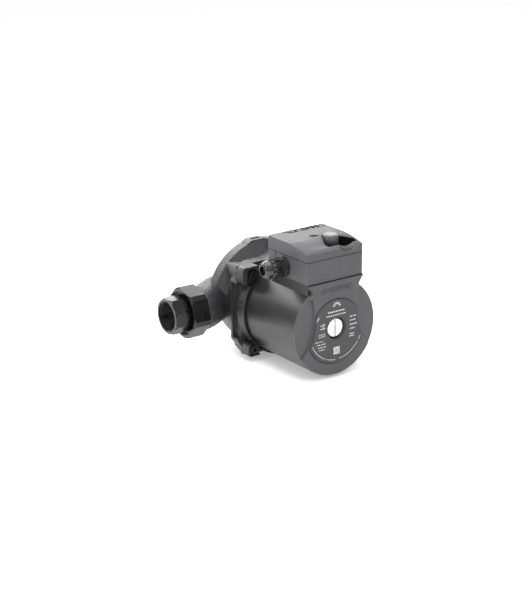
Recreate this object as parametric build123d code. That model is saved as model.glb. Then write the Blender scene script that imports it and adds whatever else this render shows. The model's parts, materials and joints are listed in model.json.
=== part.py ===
# Wet-rotor circulator pump with union fittings, in millimetres.
# X runs along the pipe (inlet at -X), Y along the motor shaft (front at -Y), Z is up.
# The origin is where the pipe's centre line crosses the shaft's centre line.
from build123d import *
import os
from math import cos, sin, radians, sqrt

os.makedirs("parts", exist_ok=True)

# ---- clearances ----
running_play = 0.05        # between a shaft and its bearing, on the radius
thread_play = 0.1          # between the plain cylinders that stand for two mating threads
slip_play = 0.3            # between pieces that only pass each other
seat_play = 0.02           # between pieces that are pushed together and stay

half_flat = 30.0           # degrees from a hexagon's flat to its corner

# ---- pipe ports and unions ----
port_gap = 180.0           # from one port face to the other
port_thread_radius = 23.85  # outside of the G 1 1/2 thread
port_thread_length = 10.0
port_bore_radius = 16.0
union_gasket_thickness = 2.0
union_gasket_inset = 0.8   # of the gasket's bore from the pipe's bore
tail_length = 31.4         # from the gasket to the pipe end
tail_sides = 8
tail_corner_radius = 20.8  # of the octagon
tail_thread_radius = 16.6  # root of the Rp 1 thread
tail_collar_radius = 22.6
tail_collar_length = 5.0
tail_neck_radius = 19.4
tail_neck_length = 11.0
tail_rim_chamfer = 1.5
union_across_flats = 52.0
union_corner_flat = 6.0    # width of the flats that cut the hexagon's corners
union_turn = 13.5          # degrees between the hexagon and the upright
union_length = 20.2
union_grip = 5.1           # how far the nut reaches over the port thread
union_lip_radius = 21.0
union_lip_thickness = 4.0
union_mouth_radius = 24.2
union_chamfer = 1.6

# ---- pump housing ----
rim_radius = 64.6          # the volute where it is largest
rim_back = 10.6
rim_front = -2.0
shoulder_back = -10.0      # where the volute's cone meets the neck
neck_radius = 53.5
neck_face = -40.0          # joint between the housing and the motor
heel_radius = 51.7         # the volute where it is smallest
waist_height = -8.0        # below this the volute is small
housing_wall = 6.0
chamber_back = 4.0
throat_radius = 44.0       # open front of the volute chamber
spigot_radius = 50.0       # bore that takes the motor's spigot
seat_face = -18.0          # where the motor's gasket seats
arm_radius = 24.2          # outside of the inlet arm
arm_depth = 24.0           # how far behind the pipe line the inlet arm runs
arm_straight = 12.0        # straight length of the inlet behind its face
arm_elbow = 44.0           # distance from the shaft to the arm's second bend
arm_bend_radius = 26.0
suction_radius = 26.0
suction_wall = 6.0
eye_radius = 20.0
boss_width = 17.0
boss_rounding = 3.5
boss_slope = 7.0           # how far each end of the boss runs out onto the rim
boss_shift = -4.0
boss_rise = 0.8
boss_slot_length = 12.0
boss_slot_width = 3.4
boss_slot_depth = 1.5

# ---- corner lugs and motor screws ----
screw_offset = 42.3        # of each motor screw, along X and along Z
screw_head_radius = 5.0
screw_head_height = 4.3
screw_shank_radius = 3.0
screw_length = 25.0
hex_socket = 5.0           # across flats
hex_socket_depth = 2.6
ear_radius = 7.6
lower_ear_radius = 5.4
ear_thickness = 5.0
lug_front = -48.0
lug_floor = -38.5
lug_outer_x = 56.6
lug_outer_z = 53.2
lug_inner = 34.0
lug_side_wall = 5.4
lug_top_wall = 3.0
lower_lug_outer_x = 50.8   # the two lower lugs are smaller boxes with thinner walls
lower_lug_outer_z = 49.4
lower_lug_side_wall = 2.6
lower_lug_wall = 1.5
lug_corner = 4.0
lug_block_back = -36.0     # behind this the lug narrows into a gusset
lug_pocket_inner = 30.5
gusset_start = 0.97        # size of the gusset where it leaves the lug, as a share of the lug
gusset_tail = 8.0          # its size where it runs out on the volute
gusset_reach = 42.0
gusset_corner = 1.5
upper_lug_back = 1.0
lower_lug_back = -14.0
flange_half_width = 55.2
flange_half_height = 52.4
flange_back = -21.0
flange_corner = 9.0
flange_radius = 64.5       # the rounded square is also cut to this circle
flange_rib = 3.0           # thickness of the rib left at the back of each side
flange_recess = 4.2
flange_recess_half = 31.0
collar_radius = 55.2
collar_gap = 1.0           # between the collar's lip and the motor
collar_back = -34.0
collar_front = -46.0

# ---- motor ----
motor_radius = 52.2
motor_wall = 4.7
motor_front = -131.4
motor_end_wall = 6.0
motor_groove_depth = 0.8
motor_groove_width = 1.2
pad_half_width = 33.0
pad_back = -68.0
pad_top = 51.9
stator_back = -52.0
stator_length = 46.0
slot_count = 12
slot_width = 4.6
slot_depth = 11.0
tooth_depth = 3.0          # solid iron between the bore and a slot
winding_inner = 30.0
winding_outer = 44.5
winding_overhang = 15.0

# ---- rotor can and bearings ----
gasket_thickness = 1.5
plate_thickness = 2.0
can_radius = 27.2          # inside
can_wall = 0.6
can_flange = 1.2
can_end = -116.5
can_end_wall = 1.5
nose_radius = 11.5
nose_bore = 8.6
nose_end = -131.0
shaft_radius = 5.0
shaft_back = 1.0
shaft_front = -114.0
shaft_slot_depth = 1.5
shaft_slot_width = 1.2
bearing_radius = 9.0
plate_hub_radius = 14.0
plate_hole_count = 6
plate_hole_radius = 2.0
plate_hole_circle = 20.0
plate_bearing_back = -14.0
plate_bearing_length = 14.0
thrust_ring_radius = 11.0
thrust_ring_thickness = 3.7
can_bearing_front = -113.0
can_bearing_length = 9.0
holder_length = 7.0
holder_hole_count = 4
holder_hole_radius = 3.0
rotor_radius = 26.2
rotor_sleeve = 0.4
end_ring_inner = 17.0
end_ring_length = 5.0

# ---- impeller ----
impeller_radius = 40.0
impeller_back = 2.0
impeller_front = -10.0
shroud_thickness = 2.0
vane_count = 6
vane_thickness = 1.8
vane_lean = 28.0           # degrees from the radius
impeller_hub_radius = 9.0
impeller_eye_radius = 14.0
impeller_neck_radius = 17.2
impeller_neck_length = 7.0
impeller_nut_radius = 7.0
impeller_nut_height = 4.0

# ---- end cover, nameplate and vent plug ----
cover_front = -136.5
cover_crescent_floor = -134.4
cover_edge = 1.5
cover_hole = 12.0
plate_front = -137.5
nameplate_top_radius = 32.1
nameplate_bottom_radius = 38.4
nameplate_top_corner = (26.6, 18.4)
nameplate_low_corner = (34.8, -15.8)
nameplate_waist = (28.4, 0.6)
crescent_neck = (30.2, 37.0)  # outline of the sunk field beside the nameplate, from its top inner corner
crescent_upper = (28.6, 24.0)
crescent_waist = (29.6, 2.0)
crescent_low = (36.6, -16.8)
crescent_bottom = -27.6
crescent_rim_inset = 6.6
crescent_overrun = 5.0     # how far the field's outline runs past the motor's rim
neck_drop = 8.5            # how far below the box the cover's neck takes its own width
neck_inset = 0.5           # of the neck's top from the box's sides
nameplate_hole = 12.2
groove_width = 0.6
vent_head_radius = 10.2
vent_face = -134.7
vent_slot_width = 1.8
vent_slot_depth = 1.3
vent_shank_length = 12.0
vent_seal_thickness = 1.0
vent_seal_width = 2.4

# ---- terminal box ----
box_half_width = 36.5
box_front = -135.2
box_back = -65.0
base_bottom = 52.7
base_top = 77.1
box_wall = 2.5
box_corner = 3.0
lid_top = 91.0
lid_drop = 6.2             # how much lower the lid's front edge is
lid_flat_front = -95.0     # where the lid's top starts to curve down
lid_overrun = 3.0           # how far the lid's curved top is drawn past its front face
wire_hole_radius = 6.0
lid_screw_x = -0.5
lid_screw_y = -98.3
lid_screw_well = 4.6
lid_screw_well_depth = 3.0
lid_screw_radius = 2.0
lid_screw_head = 4.0
lid_screw_head_height = 2.2
lid_screw_slot = 1.0       # width of each arm of its cross
lid_screw_slot_depth = 1.2
post_radius = 4.6

# ---- speed selector ----
knob_x = 13.4
knob_y = -108.8
knob_radius = 7.6
spindle_reach = 8.0        # of the spindle into the knob, and into the switch
spindle_hole = 8.5         # depth of the hole in the switch
knob_rib_radius = 0.7
knob_rib_count = 14
knob_rib_drop = 1.5        # of the ribs below the knob's top
knob_top = 94.0
recess_floor = 80.0
recess_wall = 2.0
recess_gap = 0.8            # between the knob and the recess's slanting left side
recess_slant = 29.3         # degrees that side leans from the pump's long axis
recess_back = 5.5           # how far that side runs behind the knob
recess_side = 19.6          # how far it runs in front of the knob
recess_front = 18.7         # from the knob's centre to the recess's front edge
recess_right = 20.6         # from the knob's centre to its right edge
recess_corner = 12.7        # how far in front of the knob's centre the right edge starts
recess_back_corner = 0.9    # the corner behind the knob, as a share of the gap circle's radius
recess_rounding = 2.4
scoop_radius = 19.3
scoop_x = 19.0
scoop_depth = 12.7         # below the lid's flat top, at the front face
scoop_length = 60.0
scoop_tilt = 38.0          # degrees, rising towards the back
spindle_radius = 3.0
switch_size = 19.0
switch_top = 74.0

# ---- things inside the terminal box ----
capacitor_radius = 9.0
capacitor_length = 30.0
block_width = 26.0
block_depth = 12.0
block_x = -10.0
block_back_gap = 13.0
block_height = 12.0
pole_count = 3
pole_pitch = 9.0
pole_screw_radius = 2.2
pole_screw_drop = 1.5      # of each screw's top below the block's
earth_screw_radius = 4.0
earth_screw_height = 2.5
earth_screw_inset = 6.0
base_screw_radius = 2.0
base_screw_length = 9.0
base_screw_x = -20.0
base_screw_inset = 8.5     # from the box's ends
wire_hole_x = 9.0
wire_hole_inset = 18.0     # from the back of the box

# ---- cable gland ----
gland_y = -94.5
gland_z = 64.2
gland_thread_radius = 8.0
gland_washer_radius = 11.0
gland_washer_thickness = 1.5
gland_flange_radius = 10.6
gland_flange_thickness = 2.0
gland_across_flats = 19.0
gland_hex_length = 5.0
gland_thread_length = 13.0
gland_inside_length = 8.0
gland_seal_outer = 6.4
gland_seal_bore = 4.0
gland_seal_length = 12.0
gland_nut_length = 17.5
gland_nut_dome = 7.0
gland_nut_radius = 9.9
gland_nut_mouth = 5.2
gland_nut_shoulder_drop = 0.9  # the dome is this much narrower where it meets the hexagon
gland_nut_crown_drop = 0.8
gland_nut_crown = 0.45     # height of the dome's crown as a share of its length
gland_nut_lip_drop = 2.6
gland_nut_lip = 0.12
gland_nut_nose_drop = 4.0
gland_nut_gap = 1.5        # between the nut and the body's hexagon
gland_ring_thickness = 1.0

# ---- worked out ----
port_face = port_gap / 2
tail_seat = port_face + union_gasket_thickness
pipe_end = tail_seat + tail_length
lip_inner = tail_seat + tail_collar_length + seat_play
nut_back = port_face - union_grip
nut_front = nut_back + union_length
gasket_face = seat_face - gasket_thickness
can_flange_back = gasket_face - plate_thickness
can_flange_front = can_flange_back - can_flange
motor_bore = motor_radius - motor_wall
stator_front = stator_back - stator_length
ear_front = lug_floor - ear_thickness
gland_face = -box_half_width - gland_washer_thickness
gland_hex_back = gland_face - gland_flange_thickness
gland_hex_front = gland_hex_back - gland_hex_length
gland_body_end = gland_hex_front - gland_thread_length


# ---- small helpers ----
def rod_x(radius, x0, x1, y=0.0, z=0.0):
    return Pos((x0 + x1) / 2, y, z) * Rot(0, 90, 0) * Cylinder(radius, abs(x1 - x0))


def rod_y(radius, y0, y1, x=0.0, z=0.0):
    return Pos(x, (y0 + y1) / 2, z) * Rot(90, 0, 0) * Cylinder(radius, abs(y1 - y0))


def rod_z(radius, z0, z1, x=0.0, y=0.0):
    return Pos(x, y, (z0 + z1) / 2) * Cylinder(radius, abs(z1 - z0))


def ring_y(outer, inner, y0, y1):
    return rod_y(outer, y0, y1) - rod_y(inner, y0, y1)


def ring_x(outer, inner, x0, x1, y=0.0, z=0.0):
    return rod_x(outer, x0, x1, y, z) - rod_x(inner, x0, x1, y, z)


def block(x0, x1, y0, y1, z0, z1):
    middle = Pos((x0 + x1) / 2, (y0 + y1) / 2, (z0 + z1) / 2)
    return middle * Box(abs(x1 - x0), abs(y1 - y0), abs(z1 - z0))


def turned_y(profile):
    """A profile of (radius, y) points turned about the shaft's line."""
    return revolve(Polygon(*profile, align=None), Axis.Y)


def turned_x(profile):
    """A profile of (x, radius) points turned about the pipe's line."""
    return revolve(Polygon(*profile, align=None), Axis.X)


def slab_y(face, back, front):
    """A face drawn in X and Z, given its thickness along Y."""
    return extrude(Plane.XZ.offset(-back) * face, amount=back - front)


def slab_x(face, x0, x1):
    """A face drawn in Y and Z, given its thickness along X."""
    return extrude(Plane.YZ.offset(x0) * face, amount=x1 - x0)


def slab_z(face, z0, z1):
    return extrude(Plane.XY.offset(z0) * face, amount=z1 - z0)


def hex_face(across_flats, turn=0.0):
    return RegularPolygon(across_flats / 2, 6, major_radius=False, rotation=turn)


def socket_y(face_y, x, z):
    """The hexagonal socket of a cap screw that faces the front."""
    outline = Pos(x, z) * hex_face(hex_socket)
    return slab_y(outline, face_y + hex_socket_depth, face_y)


def corners():
    return [(sx, sz) for sx in (-1, 1) for sz in (-1, 1)]


# ---- pump housing ----
def above_waist(solid, waist):
    reach = 2 * rim_radius
    return solid & block(-reach, reach, -reach, reach, waist, reach)


def arm_path():
    start = (-port_face, 0)
    first = (-port_face + arm_straight, 0)
    second = (-arm_elbow, arm_depth - 2)
    return FilletPolyline(start, first, second, (0, arm_depth), radius=arm_bend_radius)


def arm_tube(radius):
    section = Plane(origin=(-port_face, 0, 0), z_dir=(1, 0, 0)) * Circle(radius)
    return sweep(section, path=arm_path())


def lug_blank(sx, sz):
    """The box round one motor screw, with a gusset behind it that narrows onto the volute's rim."""
    back = upper_lug_back if sz > 0 else lower_lug_back
    outer_x = lug_outer_x if sz > 0 else lower_lug_outer_x
    outer_z = lug_outer_z if sz > 0 else lower_lug_outer_z
    width = outer_x - lug_inner
    height = outer_z - lug_inner
    place = Pos(sx * (outer_x - width / 2), sz * (outer_z - height / 2))
    body = slab_y(place * RectangleRounded(width, height, lug_corner), lug_block_back, lug_front)
    start = place * RectangleRounded(gusset_start * width, gusset_start * height, gusset_corner)
    tail = Pos(sx * gusset_reach, sz * gusset_reach) \
        * RectangleRounded(gusset_tail, gusset_tail, gusset_corner)
    return body + loft([Plane.XZ.offset(-lug_block_back - 1.0) * start, Plane.XZ.offset(-back) * tail])


def lug_pocket(sx, sz):
    upper = sz > 0
    x0 = sx * (lug_outer_x - lug_side_wall if upper else lower_lug_outer_x - lower_lug_side_wall)
    z0 = sz * (lug_outer_z - lug_top_wall if upper else lower_lug_outer_z - lower_lug_wall)
    pocket = block(x0, sx * lug_pocket_inner, lug_floor, lug_front, z0, sz * lug_pocket_inner)
    inside = rod_y(neck_radius + slip_play, lug_floor, neck_face)
    motor_room = rod_y(motor_radius + collar_gap, neck_face, lug_front)
    return (pocket - inside) + motor_room


def motor_screw_hole(sx, sz):
    tip = ear_front + screw_length + 1.0
    return rod_y(screw_shank_radius + seat_play, tip, lug_floor, sx * screw_offset, sz * screw_offset)


def boss_face():
    """Front view of the flat boss on top of the rim: its ends slope down onto the rim."""
    top = rim_radius + boss_rise
    shoulder = top - boss_slope / 2
    half = boss_width / 2
    foot = half + boss_slope
    outline = FilletPolyline((-foot, neck_radius), (-foot, shoulder), (-half, top),
                             (half, top), (foot, shoulder), (foot, neck_radius),
                             radius=boss_rounding, close=True)
    return Pos(boss_shift, 0) * make_face(outline)


def pump_housing():
    volute = turned_y([(0, rim_back), (rim_radius, rim_back), (rim_radius, rim_front),
                       (neck_radius, shoulder_back), (0, shoulder_back)])
    body = above_waist(volute, waist_height)
    body += rod_y(heel_radius, rim_back, shoulder_back)
    body += rod_y(neck_radius, shoulder_back, neck_face)
    flange = RectangleRounded(2 * flange_half_width, 2 * flange_half_height, flange_corner)
    flange &= Circle(flange_radius)
    body += slab_y(flange, flange_back, collar_back)
    for side in (-1, 1):
        floor = side * (flange_half_width - flange_recess)
        body -= block(floor, side * (flange_half_width + flange_recess),
                      flange_back - flange_rib, collar_back, -flange_recess_half, flange_recess_half)
    body += rod_y(collar_radius, collar_back, collar_front)
    body += slab_y(boss_face(), rim_back, rim_front)
    for sx, sz in corners():
        body += lug_blank(sx, sz)
    suction_back = arm_depth + suction_radius - 6.0
    dome = turned_y([(0, shoulder_back), (suction_radius, shoulder_back),
                     (suction_radius, arm_depth + 8), (suction_radius - 8, suction_back),
                     (0, suction_back)])
    body += dome
    body += arm_tube(arm_radius)
    body += rod_x(arm_radius, throat_radius - 6.0, port_face - port_thread_length)
    body += Pos(throat_radius - 6.0, 0, 0) * Sphere(arm_radius)
    body += rod_x(port_thread_radius, port_face - port_thread_length, port_face)
    body -= ring_x(arm_radius + 1.0, port_thread_radius, -port_face, -port_face + port_thread_length)

    chamber = turned_y([(0, chamber_back), (rim_radius - housing_wall, chamber_back),
                        (rim_radius - housing_wall, rim_front + 2.0),
                        (throat_radius + 4.0, shoulder_back + 2.0), (0, shoulder_back + 2.0)])
    body -= above_waist(chamber, waist_height + housing_wall)
    body -= rod_y(heel_radius - housing_wall + 1.0, chamber_back, shoulder_back)
    body -= rod_y(throat_radius, chamber_back, seat_face)
    body -= rod_y(spigot_radius, seat_face, neck_face)
    body -= rod_y(eye_radius, chamber_back, rim_back)
    body -= rod_y(suction_radius - suction_wall, rim_back, suction_back - suction_wall)
    body -= arm_tube(port_bore_radius)
    body -= rod_x(port_bore_radius, throat_radius - 2.0, port_face)
    body -= slab_z(Pos(boss_shift, (rim_front + rim_back) / 2)
                   * SlotOverall(boss_slot_length, boss_slot_width),
                   rim_radius + boss_rise - boss_slot_depth, rim_radius + boss_rise)
    for sx, sz in corners():
        body -= lug_pocket(sx, sz)
        body -= motor_screw_hole(sx, sz)
    return body


def wear_ring():
    inner = impeller_neck_radius + slip_play
    return ring_y(eye_radius, inner, chamber_back, rim_back)


# ---- unions: side is -1 at the inlet and 1 at the outlet ----
def sided(solid, side):
    return solid if side > 0 else solid.mirror(Plane.YZ)


def union_gasket(side):
    bore = tail_thread_radius + union_gasket_inset
    return sided(ring_x(tail_collar_radius, bore, port_face, tail_seat), side)


def tailpiece(side):
    collar_end = tail_seat + tail_collar_length
    neck_end = tail_seat + tail_neck_length + tail_collar_length
    octagon = RegularPolygon(tail_corner_radius, tail_sides, rotation=180 / tail_sides)
    body = slab_x(octagon, neck_end, pipe_end)
    rim = tail_corner_radius - tail_rim_chamfer
    body &= turned_x([(neck_end, 0), (neck_end, rim), (neck_end + 2 * tail_rim_chamfer, tail_corner_radius),
                      (pipe_end - 2 * tail_rim_chamfer, tail_corner_radius), (pipe_end, rim), (pipe_end, 0)])
    body += rod_x(tail_neck_radius, collar_end, neck_end)
    body += rod_x(tail_collar_radius, tail_seat, collar_end)
    body -= rod_x(tail_thread_radius, tail_seat, pipe_end)
    return sided(body, side)


def union_nut(side):
    hexagon = hex_face(union_across_flats, union_turn)
    corner_gap = union_across_flats / sqrt(3) - union_corner_flat / (2 * sqrt(3))
    outline = hexagon & RegularPolygon(corner_gap, 6, major_radius=False, rotation=union_turn + half_flat)
    body = slab_x(outline, nut_back, nut_front)
    body &= turned_x([(nut_back, 0), (nut_back, corner_gap - union_chamfer / 2),
                      (nut_back + union_chamfer / 2, corner_gap + 1.0),
                      (nut_front - union_chamfer, corner_gap + 1.0),
                      (nut_front, corner_gap - union_chamfer), (nut_front, 0)])
    bore = port_thread_radius + thread_play
    body -= rod_x(bore, nut_back, lip_inner)
    body -= rod_x(union_lip_radius, lip_inner, lip_inner + union_lip_thickness)
    body -= rod_x(union_mouth_radius, lip_inner + union_lip_thickness, nut_front)
    return sided(body, side)


# ---- rotor can, bearings and rotor ----
def housing_gasket():
    return ring_y(spigot_radius - slip_play, throat_radius + 1.0, seat_face, gasket_face)


def bearing_plate():
    body = rod_y(spigot_radius - slip_play, gasket_face, can_flange_back)
    body += rod_y(plate_hub_radius, plate_bearing_back, plate_bearing_back - plate_bearing_length)
    body -= rod_y(bearing_radius, plate_bearing_back, plate_bearing_back - plate_bearing_length)
    for step in range(plate_hole_count):
        turn = radians(360 / plate_hole_count * step)
        body -= rod_y(plate_hole_radius, gasket_face, can_flange_back,
                      plate_hole_circle * cos(turn), plate_hole_circle * sin(turn))
    return body


def plate_bearing():
    end = plate_bearing_back - plate_bearing_length
    return ring_y(bearing_radius, shaft_radius + running_play, plate_bearing_back, end)


def rotor_can():
    outer = can_radius + can_wall
    end_face = can_end - can_end_wall
    return turned_y([(spigot_radius - slip_play, can_flange_back), (can_radius, can_flange_back),
                     (can_radius, can_end), (nose_bore, can_end), (nose_bore, nose_end),
                     (nose_radius, nose_end), (nose_radius, end_face), (outer, end_face),
                     (outer, can_flange_front), (spigot_radius - slip_play, can_flange_front)])


def can_bearing():
    back = can_bearing_front + can_bearing_length
    return ring_y(bearing_radius, shaft_radius + running_play, back, can_bearing_front)


def bearing_holder():
    back = can_bearing_front + holder_length
    body = ring_y(can_radius - seat_play, bearing_radius, back, can_bearing_front)
    middle = (can_radius + bearing_radius) / 2
    for step in range(holder_hole_count):
        turn = radians(360 / holder_hole_count * (step + 0.5))
        body -= rod_y(holder_hole_radius, can_bearing_front + holder_length, can_bearing_front,
                      middle * cos(turn), middle * sin(turn))
    return body


def shaft():
    body = rod_y(shaft_radius, shaft_back, shaft_front)
    slot = block(-shaft_radius, shaft_radius, shaft_front, shaft_front + shaft_slot_depth,
                 -shaft_slot_width / 2, shaft_slot_width / 2)
    return body - slot


def rotor_core():
    return ring_y(rotor_radius, shaft_radius, stator_back, stator_front)


def rotor_sleeve_tube():
    return ring_y(rotor_radius + rotor_sleeve, rotor_radius, stator_back, stator_front)


def rotor_end_rings():
    back = ring_y(rotor_radius, end_ring_inner, stator_back + end_ring_length, stator_back)
    front = ring_y(rotor_radius, end_ring_inner, stator_front, stator_front - end_ring_length)
    return back + front


def thrust_ring():
    back = plate_bearing_back - plate_bearing_length - slip_play
    return ring_y(thrust_ring_radius, shaft_radius, back, back - thrust_ring_thickness)


def vane_outline():
    """One backward-leaning vane, from beside the eye to just inside the rim."""
    root = impeller_eye_radius + 1.0
    length = impeller_radius - root - 3.0
    lean = Pos(root, 0) * Rot(0, 0, vane_lean)
    return lean * Pos(length / 2, 0) * Rectangle(length, vane_thickness)


def impeller():
    inner_back = impeller_back - shroud_thickness
    inner_front = impeller_front + shroud_thickness
    body = rod_y(impeller_radius, inner_front, impeller_front)
    body += ring_y(impeller_radius, impeller_eye_radius, impeller_back, inner_back)
    body += ring_y(impeller_neck_radius, impeller_eye_radius, inner_back + impeller_neck_length, inner_back)
    vane = vane_outline()
    for step in range(vane_count):
        body += slab_y(Rot(0, 0, 360 / vane_count * step) * vane, inner_back, inner_front)
    body += rod_y(impeller_hub_radius, inner_back - 2.0, impeller_front - 2.0)
    return body - rod_y(shaft_radius, impeller_back, impeller_front - 2.0)


def impeller_nut():
    back = impeller_back - shroud_thickness - 2.0 + impeller_nut_height
    seat = back - impeller_nut_height
    return slab_y(hex_face(2 * impeller_nut_radius), back, seat) - rod_y(shaft_radius, back, seat)


# ---- motor ----
def stator_core():
    body = ring_y(motor_bore - seat_play, can_radius + can_wall + seat_play, stator_back, stator_front)
    slot_inner = can_radius + can_wall + tooth_depth
    slot = block(slot_inner, slot_inner + slot_depth, stator_back, stator_front,
                 -slot_width / 2, slot_width / 2)
    for step in range(slot_count):
        body -= Rot(0, 360 / slot_count * step, 0) * slot
    return body


def stator_windings():
    back = stator_back + winding_overhang
    front = stator_front - winding_overhang
    gap = slip_play
    body = ring_y(winding_outer, winding_inner, back, stator_back + gap)
    body += ring_y(winding_outer, winding_inner, stator_front - gap, front)
    slot_inner = can_radius + can_wall + tooth_depth
    half = slot_width / 2 - gap
    bar = block(slot_inner + gap, slot_inner + slot_depth - gap, back - 1.0, front + 1.0, -half, half)
    for step in range(slot_count):
        body += Rot(0, 360 / slot_count * step, 0) * bar
    return body


def ear(sx, sz):
    x = sx * screw_offset
    z = sz * screw_offset
    radius = ear_radius if sz > 0 else lower_ear_radius
    tab = rod_y(radius, lug_floor, ear_front, x, z)
    bridge_end = motor_radius / sqrt(2) - 2.0
    bridge = Pos(sx * (screw_offset + bridge_end) / 2, sz * (screw_offset + bridge_end) / 2) \
        * Rot(0, 0, 45 * sx * sz) * Rectangle((screw_offset - bridge_end) * sqrt(2), 2 * radius)
    tab += slab_y(bridge, lug_floor, ear_front)
    tab -= rod_y(neck_radius + 2 * slip_play, lug_floor, neck_face)
    return tab - rod_y(screw_shank_radius + slip_play, lug_floor, ear_front, x, z)


def stator_housing():
    body = rod_y(motor_radius, neck_face, motor_front)
    body += block(-pad_half_width, pad_half_width, pad_back, motor_front, 0, pad_top)
    body -= block(-pad_half_width, pad_half_width, pad_back, motor_front, pad_top, 2 * motor_radius)
    body += rod_y(spigot_radius - slip_play / 2, can_flange_front, neck_face)
    for sx, sz in corners():
        body += ear(sx, sz)
    groove_back = neck_face - motor_groove_width
    body -= ring_y(motor_radius + 1.0, motor_radius - motor_groove_depth,
                   groove_back, groove_back - motor_groove_width)
    body -= rod_y(motor_bore, can_flange_front, motor_front + motor_end_wall)
    body -= rod_y(nose_radius + seat_play, motor_front + motor_end_wall, motor_front)
    body -= wire_hole(motor_bore - 4.0, pad_top)
    return body - base_screw_holes(pad_top - base_screw_length, pad_top)


def motor_screws():
    group = None
    for sx, sz in corners():
        x = sx * screw_offset
        z = sz * screw_offset
        face = ear_front - screw_head_height
        screw = rod_y(screw_head_radius, ear_front, face, x, z) - socket_y(face, x, z)
        screw += rod_y(screw_shank_radius, ear_front + screw_length, ear_front, x, z)
        group = screw if group is None else group + screw
    return group


# ---- end cover, nameplate and vent plug ----
def nameplate_face(grow=0.0):
    """Round above and below, drawn in at both sides."""
    top_x, top_z = nameplate_top_corner
    low_x, low_z = nameplate_low_corner
    waist_x, waist_z = nameplate_waist
    tops = [(side * (top_x + grow), top_z + grow / 2) for side in (-1, 1)]
    lows = [(side * (low_x + grow), low_z - grow / 2) for side in (-1, 1)]
    waists = [(side * (waist_x + grow), waist_z) for side in (-1, 1)]
    edges = ThreePointArc(tops[0], (0, nameplate_top_radius + grow), tops[1])
    edges += ThreePointArc(tops[1], waists[1], lows[1])
    edges += ThreePointArc(lows[1], (0, -nameplate_bottom_radius - grow), lows[0])
    edges += ThreePointArc(lows[0], waists[0], tops[0])
    return make_face(edges)


def crescent_face(side):
    """The sunk field beside the nameplate, out past the motor's rim."""
    corners = (crescent_neck, crescent_upper, crescent_waist, crescent_low)
    neck, upper, waist, low = [(side * x, z) for x, z in corners]
    rim = (side * (motor_radius - crescent_rim_inset), crescent_bottom)
    far = (side * (motor_radius + crescent_overrun), crescent_bottom)
    top = (side * (motor_radius + crescent_overrun), neck[1])
    outline = Line(top, neck) + Line(neck, upper) + ThreePointArc(upper, waist, low)
    outline += Line(low, rim) + Line(rim, far) + Line(far, top)
    return make_face(outline)


def cover_neck_face():
    half_top = box_half_width - neck_inset
    half_low = crescent_neck[0]
    neck_top = base_bottom - neck_drop
    top = base_bottom - thread_play
    return Polygon((-half_top, top), (-half_low, neck_top), (-half_low, 0), (half_low, 0),
                   (half_low, neck_top), (half_top, top), align=None)


def end_cover():
    disc = rod_y(motor_radius, motor_front, cover_front)
    disc = chamfer(disc.edges().filter_by(GeomType.CIRCLE).sort_by(Axis.Y)[0], cover_edge)
    body = disc + slab_y(cover_neck_face(), motor_front, cover_front)
    for side in (-1, 1):
        body -= slab_y(crescent_face(side), cover_crescent_floor, cover_front)
    outer = nameplate_face(groove_width + seat_play)
    body -= slab_y(outer - nameplate_face(seat_play), cover_front + 1.0, cover_front)
    return body - rod_y(cover_hole, motor_front, cover_front)


def nameplate():
    plate = slab_y(nameplate_face(), cover_front, plate_front)
    return plate - rod_y(nameplate_hole, cover_front, plate_front)


def vent_seal():
    front = nose_end - vent_seal_thickness
    return ring_y(nose_bore + vent_seal_width, nose_bore + thread_play, nose_end, front)


def vent_plug():
    seat = nose_end - vent_seal_thickness
    body = rod_y(vent_head_radius, seat, vent_face)
    body = chamfer(body.edges().filter_by(GeomType.CIRCLE).sort_by(Axis.Y)[0], 0.5)
    body += rod_y(nose_bore - thread_play, seat + vent_shank_length, seat)
    slot = block(-vent_slot_width / 2, vent_slot_width / 2, vent_face, vent_face + vent_slot_depth,
                 -vent_head_radius, vent_head_radius)
    return body - slot


# ---- terminal box ----
def wire_hole(low, high):
    return rod_z(wire_hole_radius, low, high, wire_hole_x, box_back - wire_hole_inset)


def base_screw_places():
    return [(base_screw_x, box_front + base_screw_inset), (base_screw_x, box_back - base_screw_inset)]


def base_screw_holes(low, high):
    first, second = [rod_z(base_screw_radius + seat_play, low, high, x, y) for x, y in base_screw_places()]
    return first + second


def box_outline(inset=0.0):
    width = 2 * (box_half_width - inset)
    depth = box_back - box_front - 2 * inset
    return Pos(0, (box_back + box_front) / 2) * RectangleRounded(width, depth, box_corner - inset / 2)


def terminal_gasket():
    outline = block(-pad_half_width, pad_half_width, pad_back, motor_front, pad_top, base_bottom)
    return outline - wire_hole(pad_top, base_bottom) - base_screw_holes(pad_top, base_bottom)


def terminal_base():
    floor = base_bottom + box_wall
    body = slab_z(box_outline(), base_bottom, base_top)
    body -= slab_z(box_outline(box_wall), floor, base_top)
    body += rod_z(post_radius, floor, base_top, lid_screw_x, lid_screw_y)
    body -= rod_z(lid_screw_radius + seat_play, floor + 2.0, base_top, lid_screw_x, lid_screw_y)
    body -= wire_hole(base_bottom, floor)
    body -= base_screw_holes(base_bottom, floor)
    return body - rod_x(gland_thread_radius + seat_play, -box_half_width, -box_half_width + box_wall,
                        gland_y, gland_z)


def base_screws():
    floor = base_bottom + box_wall
    group = None
    for x, y in base_screw_places():
        screw = rod_z(2 * base_screw_radius, floor, floor + base_screw_radius, x, y)
        screw += rod_z(base_screw_radius, floor - base_screw_length, floor, x, y)
        group = screw if group is None else group + screw
    return group


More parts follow.
